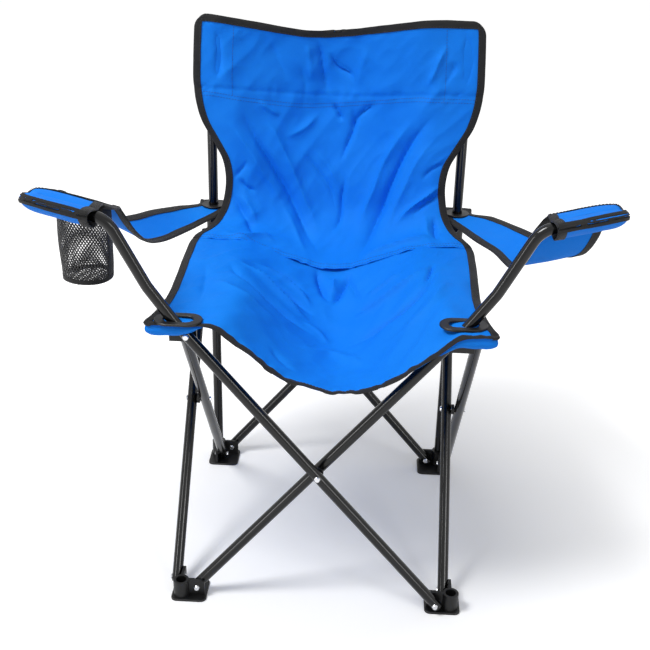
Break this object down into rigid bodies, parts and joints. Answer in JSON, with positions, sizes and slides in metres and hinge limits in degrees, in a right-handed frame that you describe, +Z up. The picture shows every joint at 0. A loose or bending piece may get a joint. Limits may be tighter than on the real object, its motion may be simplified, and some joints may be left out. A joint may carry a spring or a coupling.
{
  "type": "folding camp chair",
  "caption": "Folding camp chair: slung fabric seat and back on a scissor frame of bent steel tube, with sagging fabric armrests and a mesh cup holder.",
  "frame": {"origin": "on the floor, at the middle of the box around the open chair", "axes": "+Z up, the sitter faces -Y, +X to the sitter's left hand"},
  "size_m": [0.7698, 0.5013, 0.812],
  "materials": {
    "blue_fabric": "plain-woven polyester, slightly sheened",
    "black_tube": "glossy black powder coat",
    "black_plastic": "moulded, satin",
    "rivet_steel": "bright plated steel",
    "black_webbing": "woven binding tape and webbing",
    "black_mesh": "open knitted mesh"
  },
  "bodies": {
    "rear_left_base": {"foot_rear_left": "black_plastic", "foot_rivets_rear_left": "rivet_steel", "back_post_left": "black_tube", "post_plug_left": "black_plastic", "head_pocket_left": "blue_fabric", "back_panel": "blue_fabric"},
    "leg_rear_outer": {"tube_rear_outer": "black_tube", "cross_rivet_rear": "rivet_steel", "cross_spacer_rear": "black_plastic"},
    "leg_rear_inner": {"tube_rear_inner": "black_tube"},
    "rear_right_base": {"foot_rear_right": "black_plastic", "foot_rivets_rear_right": "rivet_steel", "back_post_right": "black_tube", "post_plug_right": "black_plastic", "head_pocket_right": "blue_fabric"},
    "leg_left_inner": {"tube_left_inner": "black_tube", "cross_rivet_left": "rivet_steel", "cross_spacer_left": "black_plastic"},
    "leg_left_outer": {"tube_left_outer": "black_tube"},
    "front_left_base": {"foot_front_left": "black_plastic", "foot_rivets_front_left": "rivet_steel"},
    "leg_front_inner": {"tube_front_inner": "black_tube", "arm_plug_right": "black_plastic", "arm_sleeve_right": "blue_fabric", "cross_rivet_front": "rivet_steel", "cross_spacer_front": "black_plastic"},
    "leg_front_outer": {"tube_front_outer": "black_tube", "arm_plug_left": "black_plastic", "arm_sleeve_left": "blue_fabric", "cup_holder": "black_mesh"},
    "front_right_base": {"foot_front_right": "black_plastic", "foot_rivets_front_right": "rivet_steel"},
    "leg_right_outer": {"tube_right_outer": "black_tube", "cross_rivet_right": "rivet_steel", "cross_spacer_right": "black_plastic"},
    "leg_right_inner": {"tube_right_inner": "black_tube"},
    "collar_rear_left": {"hub_rear_left": "black_plastic", "hub_rivets_rear_left": "rivet_steel", "seat_tab_left": "black_webbing", "strap_eyelet_left": "black_plastic"},
    "collar_rear_right": {"hub_rear_right": "black_plastic", "hub_rivets_rear_right": "rivet_steel", "seat_tab_right": "black_webbing", "strap_eyelet_right": "black_plastic"},
    "bracket_front_left": {"hub_front_left": "black_plastic", "hub_rivets_front_left": "rivet_steel", "seat_eyelet_left": "black_plastic"},
    "bracket_front_right": {"hub_front_right": "black_plastic", "hub_rivets_front_right": "rivet_steel", "seat_eyelet_right": "black_plastic"},
    "seat_half_left": {"seat_left": "blue_fabric"},
    "seat_half_right": {"seat_right": "blue_fabric"},
    "armrest_left": {"arm_strap_left": "blue_fabric"},
    "armrest_right": {"arm_strap_right": "blue_fabric"}
  },
  "joints": [
    {"name": "fold", "type": "hinge", "parent": "rear_left_base", "child": "leg_rear_outer", "pos_m": [-0.182, 0.22405, 0.016], "axis": [0, -1, 0], "range_deg": [0, 35.13], "deforming": ["seat_left", "seat_right", "back_panel", "arm_strap_left", "arm_strap_right", "arm_sleeve_left", "arm_sleeve_right", "cup_holder"]},
    {"name": "rear_cross", "type": "hinge", "parent": "leg_rear_outer", "child": "leg_rear_inner", "pos_m": [0, 0.21375, 0.233], "axis": [0, 1, 0], "range_deg": [0, 70.46]},
    {"name": "rear_right_foot", "type": "hinge", "parent": "leg_rear_inner", "child": "rear_right_base", "pos_m": [0.182, 0.20345, 0.016], "axis": [0, -1, 0], "range_deg": [0, 35.33]},
    {"name": "rear_right_collar", "type": "hinge", "parent": "leg_rear_outer", "child": "collar_rear_right", "pos_m": [0.182, 0.22405, 0.45], "axis": [0, 1, 0], "range_deg": [0, 35.33]},
    {"name": "rear_left_collar", "type": "hinge", "parent": "leg_rear_inner", "child": "collar_rear_left", "pos_m": [-0.182, 0.20345, 0.45], "axis": [0, -1, 0], "range_deg": [0, 35.33]},
    {"name": "left_rear_foot", "type": "hinge", "parent": "rear_left_base", "child": "leg_left_inner", "pos_m": [-0.1957, 0.18975, 0.016], "axis": [-1, 0, 0], "range_deg": [0, 35.33]},
    {"name": "left_cross", "type": "hinge", "parent": "leg_left_inner", "child": "leg_left_outer", "pos_m": [-0.206, 0.00775, 0.233], "axis": [1, 0, 0], "range_deg": [0, 70.46]},
    {"name": "left_front_foot", "type": "hinge", "parent": "leg_left_outer", "child": "front_left_base", "pos_m": [-0.2163, -0.17425, 0.016], "axis": [-1, 0, 0], "range_deg": [0, 35.33]},
    {"name": "left_front_bracket", "type": "hinge", "parent": "leg_left_inner", "child": "bracket_front_left", "pos_m": [-0.1957, -0.17425, 0.45], "axis": [1, 0, 0], "range_deg": [0, 35.33]},
    {"name": "front_left_foot", "type": "hinge", "parent": "front_left_base", "child": "leg_front_inner", "pos_m": [-0.182, -0.18795, 0.016], "axis": [0, -1, 0], "range_deg": [0, 35.33]},
    {"name": "front_cross", "type": "hinge", "parent": "leg_front_inner", "child": "leg_front_outer", "pos_m": [0, -0.19825, 0.233], "axis": [0, 1, 0], "range_deg": [0, 70.46]},
    {"name": "front_right_foot", "type": "hinge", "parent": "leg_front_outer", "child": "front_right_base", "pos_m": [0.182, -0.20855, 0.016], "axis": [0, -1, 0], "range_deg": [0, 35.33]},
    {"name": "right_rear_foot", "type": "hinge", "parent": "rear_right_base", "child": "leg_right_outer", "pos_m": [0.2163, 0.18975, 0.016], "axis": [-1, 0, 0], "range_deg": [0, 35.33]},
    {"name": "right_cross", "type": "hinge", "parent": "leg_right_outer", "child": "leg_right_inner", "pos_m": [0.206, 0.00775, 0.233], "axis": [1, 0, 0], "range_deg": [0, 70.46]},
    {"name": "right_front_bracket", "type": "hinge", "parent": "leg_right_outer", "child": "bracket_front_right", "pos_m": [0.2163, -0.17425, 0.45], "axis": [1, 0, 0], "range_deg": [0, 35.33]},
    {"name": "seat_swing_left", "type": "hinge", "parent": "collar_rear_left", "child": "seat_half_left", "pos_m": [-0.206, 0.21375, 0.471], "axis": [0, -1, 0], "range_deg": [0, 102.2]},
    {"name": "seat_swing_right", "type": "hinge", "parent": "collar_rear_right", "child": "seat_half_right", "pos_m": [0.206, 0.21375, 0.471], "axis": [0, 1, 0], "range_deg": [0, 102.2]},
    {"name": "armrest_swing_left", "type": "hinge", "parent": "collar_rear_left", "child": "armrest_left", "pos_m": [-0.206, 0.21375, 0.4932], "axis": [-0.9192, 0.3581, -0.1639], "range_deg": [0, 77.05]},
    {"name": "armrest_swing_right", "type": "hinge", "parent": "collar_rear_right", "child": "armrest_right", "pos_m": [0.206, 0.21375, 0.4932], "axis": [-0.9267, -0.3697, -0.0677], "range_deg": [0, 58.72]}
  ],
  "couplings": [
    {"joint": "rear_cross", "follows": "fold", "ratio": 2},
    {"joint": "rear_right_foot", "follows": "fold", "ratio": 1},
    {"joint": "rear_right_collar", "follows": "fold", "ratio": 1},
    {"joint": "rear_left_collar", "follows": "fold", "ratio": 1},
    {"joint": "left_rear_foot", "follows": "fold", "ratio": 1},
    {"joint": "left_cross", "follows": "fold", "ratio": 2},
    {"joint": "left_front_foot", "follows": "fold", "ratio": 1},
    {"joint": "left_front_bracket", "follows": "fold", "ratio": 1},
    {"joint": "front_left_foot", "follows": "fold", "ratio": 1},
    {"joint": "front_cross", "follows": "fold", "ratio": 2},
    {"joint": "front_right_foot", "follows": "fold", "ratio": 1},
    {"joint": "right_rear_foot", "follows": "fold", "ratio": 1},
    {"joint": "right_cross", "follows": "fold", "ratio": 2},
    {"joint": "right_front_bracket", "follows": "fold", "ratio": 1},
    {"joint": "seat_swing_left", "follows": "fold", "ratio": 2.9035},
    {"joint": "seat_swing_right", "follows": "fold", "ratio": 2.9035},
    {"joint": "armrest_swing_left", "follows": "fold", "ratio": 2.1877},
    {"joint": "armrest_swing_right", "follows": "fold", "ratio": 1.6659}
  ]
}
